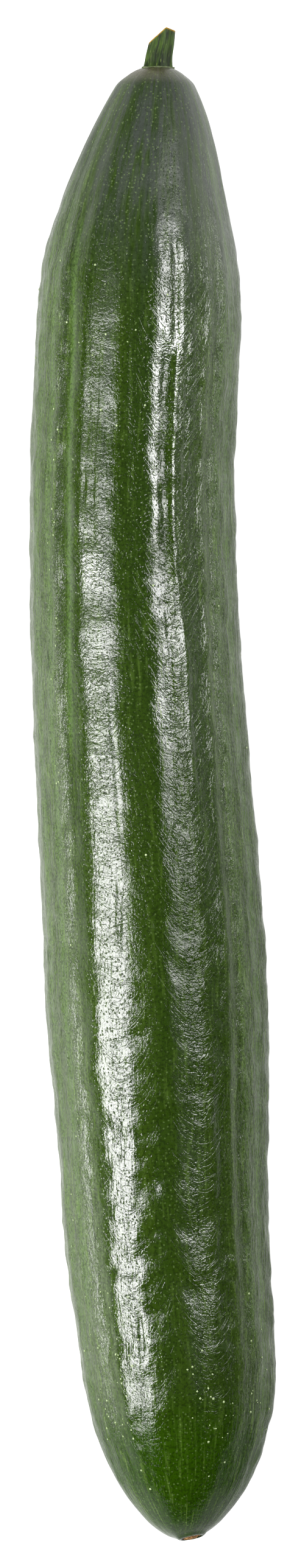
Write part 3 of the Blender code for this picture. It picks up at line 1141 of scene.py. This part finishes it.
@dataclass
class Stem:
    """The stub of the stem, five-angled, finely ridged and cut off obliquely."""

    lean: Stations = ((156.0, 1.05), (156.5, 1.1), (159.0, 1.35), (162.0, 1.9), (167.0, 2.5))
    height: Stations = ((156.0, 24.6), (156.5, 24.6), (159.0, 24.8), (162.0, 25.1), (167.0, 25.6))
    radii: Stations = ((156.0, 3.3), (156.5, 3.1), (158.0, 2.87), (162.0, 2.68), (167.0, 2.5))
    cuts: tuple[tuple[Triple, Triple], ...] = (
        ((1.4, 163.15, 25.1), (-0.63, 0.77, -0.12)),
        ((4.2, 164.75, 25.3), (0.35, 0.93, 0.05)),
    )
    foot: float = 156.1
    beyond_tip: float = 172.0
    angles: int = 5
    ridge_share: float = 0.09
    sides: int = 150
    rows: int = 70
    face_rows: int = 22
    pith_depth: float = 0.45
    pith_share: float = 0.9
    fibre_radius: float = 3.0

    def centre(self, y: Array) -> Array:
        """The middle line's point at each place along Y, in millimetres."""
        return np.stack([smooth(self.lean, y), y, smooth(self.height, y)], axis=-1)

    def beyond(self, points: Array) -> Array:
        """How far points are past the nearest cut, in millimetres, negative inside the stem."""
        return np.max([(points - np.array(place)) @ unit(facing) for place, facing in self.cuts], axis=0)

    def side(self, turn: Array, y: Array) -> Array:
        """Points on the stem's side.

        Args:
            turn: Angles round it in radians.
            y: Places along Y in millimetres.

        Returns:
            A point for each pair.
        """
        ridges = 1 + self.ridge_share * np.cos(self.angles * turn)
        # Fibres make fine ridges between the angles, and the finer ones twist.
        ridges += 0.022 * np.cos(17 * turn + 1.3) + 0.014 * np.cos(29 * turn + 0.4 * y)
        radius = smooth(self.radii, y) * ridges
        out = np.stack([np.cos(turn), np.zeros_like(turn), np.sin(turn)], axis=-1)
        return self.centre(y) + out * radius[..., None]

    def rim_places(self, turn: Array) -> Array:
        """Finds where each line up the stem's side meets the cut, by halving.

        Args:
            turn: Angles round the stem in radians.

        Returns:
            The place along Y of each, in millimetres.
        """
        low = np.full_like(turn, self.foot)
        high = np.full_like(turn, self.beyond_tip)
        for _ in range(30):
            half = (low + high) / 2
            past = self.beyond(self.side(turn, half)) > 0
            high = np.where(past, half, high)
            low = np.where(past, low, half)
        return low

    def build(self, material: Material) -> Piece:
        """Builds and dresses the stem.

        Args:
            material: The stem's material.

        Returns:
            The finished piece.
        """
        turn = np.linspace(0.0, 2 * math.pi, self.sides, endpoint=False)
        top = self.rim_places(turn)
        across, up = np.cos(turn) * self.fibre_radius, np.sin(turn) * self.fibre_radius
        rows, rim, pith, places = [], [], [], []
        for share in np.linspace(0.0, 1.0, self.rows):
            y = self.foot + (top - self.foot) * share
            rows.append(self.side(turn, y))
            rim.append(0.75 * step(0.45, 0.0, top - y))
            pith.append(np.zeros_like(turn))
            places.append(np.stack([across, up, y], axis=-1))
        direction = unit(self.cuts[0][1])
        middle_y = self.rim_places(np.array([math.pi / 2]))
        centre = self.centre(middle_y)[0]
        centre = centre - direction * self.beyond(centre[None])[0]
        edge = rows[-1]
        # The cut face sinks to the pith inside a low ring, with a star of fibre bundles.
        for share in np.linspace(1.0, 0.0, self.face_rows)[1:-1]:
            flat = centre + (edge - centre) * share
            sunk = self.pith_depth * (1 - share**3) - 0.12 * math.exp(-(((share - 0.93) / 0.05) ** 2))
            bundles = 0.09 * np.cos(10 * turn) * math.exp(-(((share - 0.62) / 0.12) ** 2))
            rows.append(flat - direction * (sunk - bundles)[:, None])
            rim.append(np.full_like(turn, 0.8 * float(step(0.8, 0.97, share))))
            pith.append(np.full_like(turn, self.pith_share))
            places.append(np.stack([across * share, up * share, np.full_like(turn, 170)], axis=-1))
        foot = self.centre(np.array([self.foot]))
        last = (centre - direction * self.pith_depth)[None]
        attributes = {
            "rim": np.concatenate([[0.0], *rim, [0.0]]),
            "pith": np.concatenate([[0.0], *pith, [self.pith_share]]),
            "stem_place": np.concatenate([foot * 0, *places, last * 0]) * MM,
        }
        points = np.concatenate([foot, *rows, last])
        return new_piece("stem_stub", points, closed_grid(len(rows), self.sides), material, attributes)


@dataclass
class StemRing:
    """The thin pale ring where the skin meets the stem's foot."""

    stem: Stem
    place: float = 156.35
    outward: float = 1.04
    thickness: float = 0.2
    sides: int = 96
    section: int = 12

    def build(self, material: Material) -> Piece:
        """Builds and dresses the ring.

        Args:
            material: Its material.

        Returns:
            The finished piece.
        """
        turn = np.linspace(0.0, 2 * math.pi, self.sides, endpoint=False)
        middle = self.stem.centre(np.array([self.place]))
        path = self.stem.side(turn, np.full_like(turn, self.place))
        path = middle + (path - middle) * self.outward
        out = (path - middle) / np.linalg.norm(path - middle, axis=1)[:, None]
        thick = self.thickness * (1 + 0.25 * np.cos(7 * turn + 1) + 0.15 * np.cos(13 * turn))
        points, faces = [], []
        for i in range(self.section):
            around = 2 * math.pi * i / self.section
            lift = np.array([0.0, math.sin(around), 0.0])
            points.append(path + (out * math.cos(around) + lift) * thick[:, None])
            a, b = i * self.sides, (i + 1) % self.section * self.sides
            for j in range(self.sides):
                k = (j + 1) % self.sides
                faces.append((a + j, a + k, b + k, b + j))
        return new_piece("stem_ring", np.concatenate(points), faces, material)


@dataclass
class FlowerScar:
    """The corky scar that the flower left."""

    radius: float = 1.95
    thickness: float = 0.9
    dome: float = 0.35
    lumps: float = 0.28
    lump_scale: float = 1.6
    sides: int = 60
    rows: int = 22

    def lump(self, flat: Vector) -> float:
        """The height of the crumbled cork at a place on the disc, in millimetres."""
        return self.lumps * noise.fractal(flat * self.lump_scale + Vector((3.1, 0.0, 7.7)), 0.8, 2.1, 4)

    def build(self, material: Material) -> Piece:
        """Builds and dresses the scar.

        Args:
            material: Its material.

        Returns:
            The finished piece.
        """
        centre = Vector(SCAR_CENTRE)
        up = Vector(SCAR_FACING).normalized()
        side = up.orthogonal().normalized()
        other = up.cross(side)
        points = [centre - up * self.thickness]
        shares = [(1.0, True)] + [(share, False) for share in np.linspace(1.0, 0.0, self.rows)[:-1]]
        for share, below in shares:
            for j in range(self.sides):
                turn = 2 * math.pi * j / self.sides
                ragged = 1 + 0.07 * math.cos(5 * turn + 0.7) + 0.05 * math.cos(11 * turn)
                flat = (side * math.cos(turn) + other * math.sin(turn)) * self.radius * share * ragged
                rise = -self.thickness if below else self.dome * (1 - share**2) + self.lump(flat)
                points.append(centre + flat + up * rise)
        points.append(centre + up * (self.dome + self.lump(Vector((0.0, 0.0, 0.0)))))
        faces = closed_grid(len(shares), self.sides)
        return new_piece("flower_scar", np.array([p[:] for p in points]), faces, material)


@dataclass(frozen=True)
class SoftBox:
    """A flat studio light that faces the fruit: degrees from straight above, and metres."""

    name: str
    angle: float
    width: float
    low_y: float
    high_y: float
    radiance: float
    distance: float = 1.0

    def build(self, target_height: float) -> None:
        """Adds the light.

        Args:
            target_height: The height of the point that it faces.
        """
        data = bpy.data.lights.new(self.name, "AREA")
        data.shape = "RECTANGLE"
        data.size = self.width
        data.size_y = self.high_y - self.low_y
        data.energy = self.radiance * math.pi * data.size * data.size_y
        turn = math.radians(self.angle)
        made = bpy.data.objects.new(self.name, data)
        height = target_height + self.distance * math.cos(turn)
        made.location = (self.distance * math.sin(turn), (self.low_y + self.high_y) / 2, height)
        made.rotation_euler = (0.0, turn, 0.0)
        bpy.context.scene.collection.objects.link(made)


@dataclass
class Studio:
    """A plain pale floor, soft light and a camera straight above."""

    camera_distance: float = 2.0
    silhouette_height: float = 24 * MM
    frame_length: float = 342.63 * MM
    sensor: float = 36.0
    floor_half: float = 30.0
    floor_glow: float = 0.84
    floor_colour: str = "dedede"
    horizon: str = "f2f2f2"
    overhead: tuple[str, str] = ("101210", "4e504e")
    boxes: tuple[SoftBox, ...] = (
        SoftBox("left softbox upper part", -44, 0.66, 0.02, 0.042, 15),
        SoftBox("left softbox near part", -45, 0.68, 0.042, 0.078, 8),
        SoftBox("left softbox", -41, 0.72, -0.02, 0.02, 21),
        SoftBox("left softbox middle", -40, 0.73, -0.1, -0.02, 23.5),
        SoftBox("left softbox low part", -49, 0.47, -0.2, -0.1, 18.5),
        SoftBox("left softbox far part", -50, 0.5, -0.35, -0.2, 26),
        SoftBox("left softbox end", -60, 0.17, -0.6, -0.35, 30),
        SoftBox("left softbox tail 1", -45, 0.6, 0.078, 0.12, 3),
        SoftBox("left softbox tail 2", -45, 0.57, 0.12, 0.18, 2.6),
        SoftBox("left softbox tail 3", -46, 0.52, 0.18, 0.24, 1.9),
        SoftBox("left softbox tail 4", -47, 0.47, 0.24, 0.31, 1.2),
        SoftBox("left softbox tail 5", -48, 0.4, 0.31, 0.4, 0.6),
        SoftBox("right softbox", 40, 0.42, 0.12, 0.5, 20),
        SoftBox("right softbox middle", 40, 0.42, 0.055, 0.12, 11.5),
        SoftBox("right softbox edge", 39.5, 0.4, 0.01, 0.055, 2.2),
        SoftBox("right softbox low part", 35, 0.5, -0.3, 0.01, 0.4),
        SoftBox("right softbox far part", 37, 0.6, 0.5, 0.7, 0.8),
        SoftBox("right softbox far end", 37, 0.6, 0.7, 0.9, 0.3),
        SoftBox("right wall", 72, 0.55, -0.1, 0.4, 0.3, 1.1),
        SoftBox("right wall far part", 72, 0.55, 0.4, 0.9, 0.9, 1.1),
    )

    def floor(self) -> Piece:
        """Lays the floor, a tenth of a millimetre under the fruit.

        Returns:
            The floor.
        """
        half = self.floor_half / MM
        corners = ((-half, -half), (half, -half), (half, half), (-half, half))
        points = np.array([(x, y, -0.1) for x, y in corners])
        glow = linear(self.floor_colour)
        inputs = {
            "Specular IOR Level": 0.0,
            "Emission Color": glow,
            "Emission Strength": self.floor_glow / glow[0],
        }
        material = plain_material("pale floor", "8a8a8a", 1.0, inputs)
        piece = new_piece("pale_floor", points, [(0, 1, 2, 3)], material)
        if piece.data.polygons[0].normal.z < 0:
            piece.data.flip_normals()
        return piece

    def sky(self) -> None:
        """Fills the room round the floor: dim overhead, pale low down."""
        world = bpy.data.worlds.new("studio room")
        bpy.context.scene.world = world
        world.use_nodes = True
        graph = Graph(world.node_tree)
        direction = graph.add("ShaderNodeTexCoord").outputs["Generated"]
        _, along, height = graph.add("ShaderNodeSeparateXYZ", {0: direction}).outputs
        dark = graph.blend(graph.rise(along, -0.5, -0.1), *(linear(code) for code in self.overhead))
        colour = graph.blend(graph.rise(height, 0.04, 0.09), linear(self.horizon), dark)
        graph.fill(world.node_tree.nodes["Background"], {"Color": colour})

    def camera(self, centre: Vector) -> None:
        """Sets the camera straight above, with +Y up in the picture.

        Args:
            centre: The middle of the object.
        """
        data = bpy.data.cameras.new("camera")
        data.sensor_width = self.sensor
        data.lens = self.sensor * self.camera_distance / self.frame_length
        data.clip_end = 100.0
        made = bpy.data.objects.new("camera", data)
        made.location = (centre.x, centre.y, self.silhouette_height + self.camera_distance)
        bpy.context.scene.collection.objects.link(made)
        bpy.context.scene.camera = made

    def build(self, centre: Vector) -> None:
        """Builds the whole studio.

        Args:
            centre: The middle of the object.
        """
        self.floor()
        for box in self.boxes:
            box.build(self.silhouette_height)
        self.sky()
        self.camera(centre)
        bpy.context.scene.view_settings.view_transform = "Standard"


def hand_over(piece: Piece, replaced: str | None = None) -> None:
    """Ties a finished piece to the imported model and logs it.

    Args:
        piece: The piece.
        replaced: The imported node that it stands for, if any.
    """
    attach(piece, "root")
    if replaced:
        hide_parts(replaced)
    log.info("%s: %d faces", piece.name, len(piece.data.polygons))


def main() -> None:
    """Builds every piece in order, then the studio."""
    logging.basicConfig(level=logging.INFO, format="%(message)s")
    skin = Skin(FruitShape()).build(SkinFinish().make())
    hand_over(skin, "fruit")
    # The warts are pale: partly their own pale tips, partly a painted glint.
    wart_material = plain_material("skin warts", "96a678", 0.08, {"IOR": 1.46})
    hand_over(Warts().build(skin, wart_material))
    stem = Stem()
    hand_over(stem.build(StemFinish().make()), "stem")
    hand_over(StemRing(stem).build(plain_material("pale ring", "4f5a36", 0.5)))
    hand_over(FlowerScar().build(CorkFinish().make()), "blossom_scar")
    low, high = (Vector(corner) for corner in cad_box)
    Studio().build((low + high) / 2)


if __name__ == "__main__":
    main()
